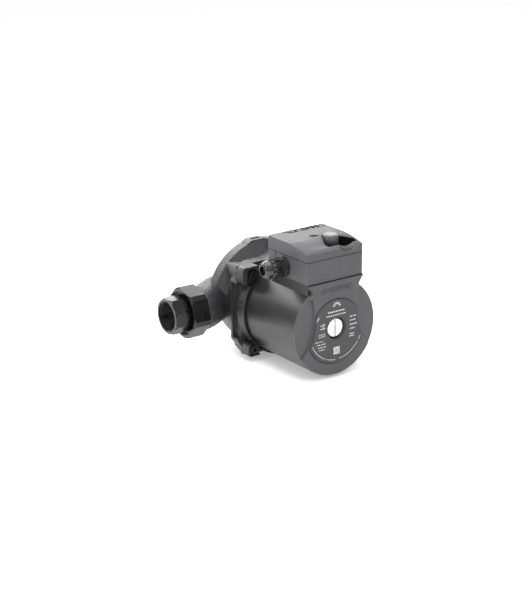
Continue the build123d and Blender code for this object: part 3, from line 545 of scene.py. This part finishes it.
# Foil nameplate with plain generic print. Places and sizes are in millimetres on the plate's face.
plateLook = {
    "front": -0.1375, "inset": 0.00005, "inkThickness": 0.00008, "edge": 0.00018, "inkTone": 0.62, "seed": 11,
    "spray": {"strokes": 9, "height": 24.0, "radius": 4.2, "half": 75, "long": 2.6, "tall": 0.7},
    "lines": {"rows": ((19.2, 9, -11.5, 1.4), (15.2, 11, -13.5, 1.1)),   # height, blocks, start, block height
              "longs": (1.1, 1.6, 2.1), "gap": 0.75},
    "table": {"rows": (9.5, 5.2, 0.6, -4.0), "columns": 3, "start": 17.5, "longs": (1.0, 1.4, 2.4), "gap": 1.0,
              "tall": 1.15},
    "rules": {"rows": (-9.8, -12.4), "middle": 20.0, "long": 6.5, "tall": 0.8},
    "notes": {"rows": ((-10.5, 9.0), (-13.8, 10.5), (-17.0, 9.0), (-20.0, 6.5)),   # height, length of the row
              "start": -28.0, "top": 10, "slant": 0.5, "longs": (1.0, 1.8, 2.6), "gap": 0.8, "tall": 0.85},
    "dashes": {"at": ((-20.5, 6.8), (-20.5, 3.2), (-17.2, 5.2)), "long": 2.6, "tall": 0.7},
    "stack": {"rows": (7.5, 5.4, 3.3), "middle": -17.3, "long": 3.2, "tall": 1.1},
    "frames": {"at": (-21.8, -17.2), "height": -4.2, "half": 1.5, "long": 3.3, "tall": 0.5},
    "corner": {"strokes": ((-25.0, 13.8, 3.6), (-24.0, 15.6, 3.0)), "tall": 0.7, "turn": 42},
    "chequer": {"middle": (0.0, -24.5), "cells": 9, "cell": 0.88, "fill": 0.5, "tile": 0.98},
    "arc": {"radius": 34.5, "half": 66, "steps": 46, "tall": 0.55, "overlap": 1.02, "breaks": 0.08, "gap": 1.2},
}


def plateMarks():
    look = plateLook
    face = look["front"] + look["inkThickness"] / 2
    marks = []

    def bar(x, z, long, tall, turn=0.0):
        marks.append({"at": (x * mm, face, z * mm), "long": long * mm, "tall": tall * mm,
                      "turn": (quarter, math.radians(-turn), 0)})

    random.seed(look["seed"])
    spray = look["spray"]                                      # short strokes fanned above the plug
    for step in range(spray["strokes"]):
        angle = math.radians(-spray["half"] + 2 * spray["half"] * step / (spray["strokes"] - 1))
        bar(spray["radius"] * math.sin(angle), spray["height"] + spray["radius"] * math.cos(angle), spray["long"],
            spray["tall"], 90 - math.degrees(angle))
    lines = look["lines"]                                      # two lines of plain blocks
    for z, count, x, tall in lines["rows"]:
        for step in range(count):
            long = random.choice(lines["longs"])
            bar(x + long / 2, z, long, tall)
            x += long + lines["gap"]
    table = look["table"]                                      # rows on the right, with two rules below them
    for z in table["rows"]:
        x = table["start"]
        for step in range(table["columns"]):
            long = random.choice(table["longs"])
            bar(x + long / 2, z, long, table["tall"])
            x += long + table["gap"]
    rules = look["rules"]
    for z in rules["rows"]:
        bar(rules["middle"], z, rules["long"], rules["tall"])
    notes = look["notes"]                                      # rows at the lower left, following the edge
    for z, length in notes["rows"]:
        x = notes["start"] + (abs(z) - notes["top"]) * notes["slant"]
        end = x + length
        while x < end:
            long = random.choice(notes["longs"])
            bar(x + long / 2, z, long, notes["tall"])
            x += long + notes["gap"]
    dashes = look["dashes"]                                    # small plain symbols on the left
    for x, z in dashes["at"]:
        bar(x, z, dashes["long"], dashes["tall"])
    stack = look["stack"]
    for z in stack["rows"]:
        bar(stack["middle"], z, stack["long"], stack["tall"])
    frames = look["frames"]
    for x in frames["at"]:
        for step in range(4):
            turn = math.radians(90 * step)
            bar(x + frames["half"] * math.cos(turn), frames["height"] + frames["half"] * math.sin(turn),
                frames["long"], frames["tall"], 90 * step + 90)
    corner = look["corner"]
    for x, z, long in corner["strokes"]:
        bar(x, z, long, corner["tall"], corner["turn"])
    chequer = look["chequer"]                                  # a framed square of random cells
    cell, count = chequer["cell"], chequer["cells"]
    for row in range(count):
        for column in range(count):
            edge = row in (0, count - 1) or column in (0, count - 1)
            if edge or random.random() < chequer["fill"]:
                x = chequer["middle"][0] + (column - count / 2 + 0.5) * cell
                z = chequer["middle"][1] + (row - count / 2 + 0.5) * cell
                bar(x, z, cell * chequer["tile"], cell * chequer["tile"])
    arc = look["arc"]                                          # broken line near the plate's lower edge
    pitch = 2 * arc["half"] / arc["steps"]
    for step in range(arc["steps"]):
        angle = math.radians(-arc["half"] + pitch * (step + 0.5))
        if abs(step - arc["steps"] / 2) < arc["gap"] or random.random() < arc["breaks"]:
            continue
        bar(arc["radius"] * math.sin(angle), -arc["radius"] * math.cos(angle),
            arc["radius"] * math.radians(pitch) * arc["overlap"], arc["tall"], math.degrees(angle))
    return marks


def makeNameplate():
    plate = cadCopy("nameplate", "nameplateFoil")
    for vertex in plate.data.vertices:
        if vertex.co.y < plateLook["front"] + 1e-5:            # the print lies on the foil, inside the plate's size
            vertex.co.y += plateLook["inset"]
    roundEdges(plate, plateLook["edge"])
    settle(plate, "pump")
    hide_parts("nameplate")
    ink = inkFinish("plateInk", plateLook["inkTone"])
    placeMarks("nameplatePrint", plateMarks(), plateLook["inkThickness"], ink)


# Pipe threads inside both tailpieces: a helical ridge at a constant pitch.
threadLook = {"radius": 0.0166, "depth": 0.0011, "pitch": 0.002309, "length": 0.0225, "mouth": 0.1222, "facets": 48}


def threadRecipe(material):
    made = Recipe("pipeThread", [("Radius", "Float"), ("Depth", "Float"), ("Turns", "Float"), ("Length", "Float"),
                                 ("Steps", "Int")])
    spiral = made.add("GeometryNodeCurveSpiral", {}, {
        "Resolution": made.given("Steps"), "Rotations": made.given("Turns"), "Start Radius": made.given("Radius"),
        "End Radius": made.given("Radius"), "Height": made.given("Length")})
    tooth = made.add("GeometryNodeCurvePrimitiveCircle", {}, {"Resolution": 4, "Radius": made.given("Depth")})
    ridge = made.add("GeometryNodeCurveToMesh", {}, {"Curve": spiral, "Profile Curve": tooth, "Fill Caps": True})
    made.close(ridge, material)
    return made


def makeThreads():
    look = threadLook
    recipe = threadRecipe(finishes["union_black"])
    for side, port in ((-1, "inlet"), (1, "outlet")):
        piece = recipe.build(port + "Thread", emptyMesh(port), {
            "Radius": look["radius"] + look["depth"] * 0.25, "Depth": look["depth"],
            "Turns": look["length"] / look["pitch"], "Length": look["length"], "Steps": look["facets"]})
        turn = Matrix.Rotation(-quarter * side, 4, "Y")
        piece.data.transform(Matrix.Translation((side * look["mouth"], 0, 0)) @ turn)
        turnOutwards(piece.data)
        settle(piece, port + "_tail")


# Plain blocks along the back of the lid, where a maker would print a name.
lidPrint = {"top": 0.091, "ink": 0.00006, "from": (-0.0210, -0.0700), "to": (0.0325, -0.0695), "height": 0.0092,
            "widths": (0.0011, 0.0016, 0.0022, 0.0028), "gap": 0.0009, "rows": 3, "fill": 0.72, "share": 3.1, "seed": 5}


def makeLidPrint():
    look = lidPrint
    random.seed(look["seed"])
    marks = []
    start, end = Vector(look["from"]), Vector(look["to"])
    run = end - start
    across = Vector((-run.y, run.x)).normalized()
    lean = math.atan2(run.y, run.x)
    far = 0.0
    while far < run.length:
        wide = random.choice(look["widths"])
        for level in range(look["rows"]):
            if random.random() < look["fill"]:
                offset = across * (level - 1) * look["height"] / look["rows"]
                spot = start + run.normalized() * (far + wide / 2) + offset
                marks.append({"at": (spot.x, spot.y, look["top"] + look["ink"] / 2), "long": wide,
                              "tall": look["height"] / look["share"], "turn": (0, 0, lean)})
        far += wide + look["gap"]
    placeMarks("lidPrint", marks, look["ink"], inkFinish("lidInk", **matt))


# Raised strokes on the end cover, in place of a name.
coverRelief = {"face": -0.1365, "proud": 0.0005, "centre": (0.0, 0.0432), "strokes": 15, "pitch": 0.0027,
               "tall": 0.0058, "heights": (0.55, 0.8, 1.0), "stroke": 0.0012, "lean": 12, "seed": 3}


def makeCoverRelief():
    look = coverRelief
    random.seed(look["seed"])
    marks = []
    for step in range(look["strokes"]):
        middle = look["centre"][0] + (step - (look["strokes"] - 1) / 2) * look["pitch"]
        marks.append({"at": (middle, look["face"] - look["proud"] / 2, look["centre"][1]),
                      "long": look["stroke"], "tall": look["tall"] * random.choice(look["heights"]),
                      "turn": (quarter, math.radians(look["lean"]), 0)})
    placeMarks("coverRelief", marks, look["proud"], finishes["box_plastic"])


# One, two and three strokes for the speeds, on the floor of the knob's recess.
dialLook = {"centre": (0.0134, -0.1088), "radius": 0.0128, "long": 0.0022, "wide": 0.0007, "height": 0.08005,
            "angles": (-128, -98, -68), "fan": 6, "ink": 0.0001}


def makeDialMarks():
    look = dialLook
    marks = []
    for number, angle in enumerate(look["angles"]):
        for stroke in range(number + 1):
            turn = math.radians(angle + (stroke - number / 2) * look["fan"])
            spot = Vector(look["centre"]) + look["radius"] * Vector((math.cos(turn), math.sin(turn)))
            marks.append({"at": (*spot, look["height"]), "long": look["long"], "tall": look["wide"],
                          "turn": (0, 0, turn)})
    placeMarks("dialMarks", marks, look["ink"], inkFinish("dialInk", 0.5))


# Small marks in front of the recess, laid on the lid's curve, and the slit in the base's left side, which is a painted
# shadow strip.
scaleLook = {"from": 0.0085, "to": 0.0315, "row": -0.1314, "count": 9, "long": (0.0010, 0.0015, 0.0019),
             "tall": 0.0016, "ink": 0.00006, "seed": 8}
slitLook = {"at": (-0.0366, -0.0795, 0.0748), "wide": 0.0008, "tall": 0.0050, "depth": 0.00006}


def makeScaleMarks():
    look = scaleLook
    random.seed(look["seed"])
    marks = []
    for step in range(look["count"]):
        x = look["from"] + (look["to"] - look["from"]) * step / (look["count"] - 1)
        spot, normal = cadNodes["terminal_lid"].ray_cast((x, look["row"], 1.0), (0, 0, -1))[1:3]
        marks.append({"at": spot + normal * look["ink"] / 2, "long": random.choice(look["long"]),
                      "tall": look["tall"], "turn": (math.atan2(-normal.y, normal.z), 0, 0)})
    placeMarks("scaleMarks", marks, look["ink"], inkFinish("scaleInk", **matt))


def makeBaseSlit():
    # Painted shadow: a thin near-black tile on the base's side stands in for the shaded slit.
    look = slitLook
    slit = {"at": look["at"], "long": look["wide"], "tall": look["tall"], "turn": (quarter, 0, -quarter)}
    placeMarks("baseSlitShadow", [slit], look["depth"], inkFinish("slitPaintedShadow", **matt))


def ribRing(name, look, material):
    made = Recipe(name, [("Count", "Int"), ("Ring", "Float"), ("Rib", "Float"), ("Length", "Float")])
    ring = made.add("GeometryNodeMeshCircle", {}, {"Vertices": made.given("Count"), "Radius": made.given("Ring")})
    rod = made.add("GeometryNodeMeshCylinder", {}, {"Vertices": look["facets"], "Radius": made.given("Rib"),
                                                   "Depth": made.given("Length")})
    spread = made.add("GeometryNodeInstanceOnPoints", {}, {"Points": ring, "Instance": rod})
    made.close(spread, material)
    return made.build(name, emptyMesh(name), {"Count": look["count"], "Ring": look["ring"], "Rib": look["rib"],
                                              "Length": look["end"] - look["start"]})


def shadeSides(mesh):
    for face in mesh.polygons:
        face.use_smooth = len(face.vertices) == 4


# Ribs round the gland nut, along X.
glandLook = {"axis": (-0.0945, 0.0642), "start": -0.0562, "end": -0.0475, "ring": 0.0096, "rib": 0.0009,
             "count": 14, "facets": 10}


def makeGlandRibs():
    look = glandLook
    piece = ribRing("glandNutRibs", look, finishes["gland_plastic"])
    place = Matrix.Translation(((look["start"] + look["end"]) / 2, *look["axis"]))
    piece.data.transform(place @ Matrix.Rotation(quarter, 4, "Y"))
    shadeSides(piece.data)
    settle(piece, "gland_nut")


# Ribs round the speed knob, upright.
knobLook = {"centre": (0.0134, -0.1088), "start": 0.0806, "end": 0.0934, "ring": 0.0076, "rib": 0.00068,
            "count": 24, "facets": 8}


def makeKnobRibs():
    look = knobLook
    piece = ribRing("speedKnobRibs", look, finishes["knob_plastic"])
    piece.data.transform(Matrix.Translation((*look["centre"], (look["start"] + look["end"]) / 2)))
    shadeSides(piece.data)
    settle(piece, "speed_knob")


# Painted shadow: the lid's recess and screw well are coloured near-black for the shade inside them; so are the knob's
# sides between its ribs.
recessLook = {"floor": 0.0797, "floorTop": 0.0803, "screw": (-0.0005, -0.0983), "well": 0.0052,
              "wellFrom": 0.0872, "wellTop": 0.0905, "box": (-0.006, 0.0345, -0.1278, -0.0975),
              "shade": {"dark": tint(0.003), "light": tint(0.005), "rough": (0.6, 0.75), "gloss": 0.1}}


def paintRecessShadow(piece):
    look = recessLook
    piece.data.materials.append(plainFinish("recessPaintedShadow", look["shade"]))
    west, east, south, north = look["box"]
    for face in piece.data.polygons:
        middle = face.center
        upright = abs(face.normal.z) < 0.3
        inWell = (middle.xy - Vector(look["screw"])).length < look["well"] and middle.z > look["wellFrom"]
        inRecess = west < middle.x < east and south < middle.y < north and middle.z > look["floor"]
        # Painted shadow on the recess walls and floor and inside the screw well.
        if (inRecess and (upright or middle.z < look["floorTop"])) or (inWell and middle.z < look["wellTop"]):
            face.material_index = 1


def paintKnobSideShadow(piece):
    # Painted shadow: the knob's upright faces take the darker impeller plastic, for the shade between its ribs.
    piece.data.materials.append(finishes["impeller_plastic"])
    for face in piece.data.polygons:
        if abs(face.normal.z) < 0.5:
            face.material_index = 1


# Mouldings and forgings get truly rounded edges: new name and edge radius.
roundedParts = {
    "terminal_lid": ("terminalLidMoulding", 0.0007), "terminal_base": ("terminalBaseMoulding", 0.0006),
    "end_cover": ("endCoverMoulding", 0.0006),
    "inlet_nut": ("inletNutForged", 0.0005), "outlet_nut": ("outletNutForged", 0.0005),
    "speed_knob": ("speedKnobMoulding", 0.0002),
}


def roundParts():
    for node, (name, width) in roundedParts.items():
        piece = cadCopy(node, name)
        roundEdges(piece, width, 38, True)
        if node == "terminal_lid":
            paintRecessShadow(piece)
        if node == "speed_knob":
            paintKnobSideShadow(piece)
        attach(piece, cadNodes[node]["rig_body"])
        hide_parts(node)


makeNameplate()
makeThreads()
makeLidPrint()
makeCoverRelief()
makeDialMarks()
makeScaleMarks()
makeBaseSlit()
print("print, relief and threads made")
makeGlandRibs()
makeKnobRibs()
roundParts()
print("ribs and rounded mouldings made")
